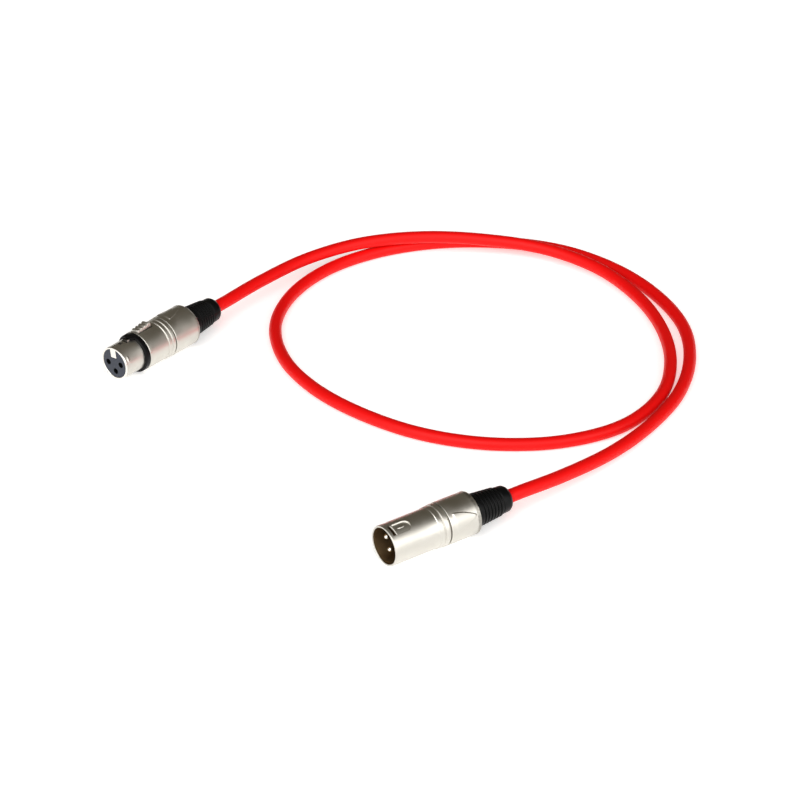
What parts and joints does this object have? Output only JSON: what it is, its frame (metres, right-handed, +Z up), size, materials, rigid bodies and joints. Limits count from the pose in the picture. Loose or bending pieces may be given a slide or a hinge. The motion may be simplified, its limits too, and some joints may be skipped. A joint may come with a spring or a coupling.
{
  "type": "microphone cable with three-pole plugs",
  "caption": "Red balanced microphone cable lying in a loose loop, with a latching female plug at one end and a pin plug at the other.",
  "frame": {"origin": "on the floor, under the middle of the box round the two plugs, without the cable between them", "axes": "+X along the male plug's axis from its mating face towards the cable, +Y from the male plug towards the female plug, +Z up"},
  "size_m": [0.2738, 0.2526, 0.0228],
  "materials": {
    "satin_nickel": "satin nickel plate over a zinc casting",
    "bright_nickel": "bright nickel plate",
    "silver_contact": "silver plate over brass",
    "spring_steel": "plain spring steel",
    "black_rubber": "satin moulded rubber",
    "black_plastic": "satin moulded plastic",
    "slate_plastic": "matte glass-filled plastic",
    "clamp_plastic": "plain moulded plastic",
    "red_pvc": "satin flexible PVC",
    "white_core": "extruded insulation",
    "blue_core": "extruded insulation",
    "tinned_copper": "twisted tinned copper"
  },
  "bodies": {
    "cable_and_plugs": {"cable_jacket": "red_pvc", "female_boot": "black_rubber", "female_chuck": "clamp_plastic", "female_colour_ring": "black_plastic", "female_contact_1": "silver_contact", "female_contact_2": "silver_contact", "female_contact_3": "silver_contact", "female_core_cold": "blue_core", "female_core_hot": "white_core", "female_front_shell": "satin_nickel", "female_gland_nut": "black_plastic", "female_insert": "slate_plastic", "female_latch_pin": "spring_steel", "female_latch_spring": "spring_steel", "female_rear_sleeve": "satin_nickel", "female_shield_lead": "tinned_copper", "male_boot": "black_rubber", "male_chuck": "clamp_plastic", "male_core_cold": "blue_core", "male_core_hot": "white_core", "male_front_shell": "satin_nickel", "male_gland_nut": "black_plastic", "male_insert": "slate_plastic", "male_pin_1": "silver_contact", "male_pin_2": "silver_contact", "male_pin_3": "silver_contact", "male_rear_sleeve": "satin_nickel", "male_shield_lead": "tinned_copper"},
    "latch_lever": {"female_latch_lever": "bright_nickel"}
  },
  "joints": [
    {"name": "female_latch_press", "type": "hinge", "parent": "cable_and_plugs", "child": "latch_lever", "pos_m": [-0.01559, 0.1027, 0.01745], "axis": [0.2586, -0.9583, 0.1219], "range_deg": [0, 5], "stiffness_Nm_per_rad": 0.15, "springref_deg": -5.73, "deforming": ["female_latch_spring"]}
  ]
}
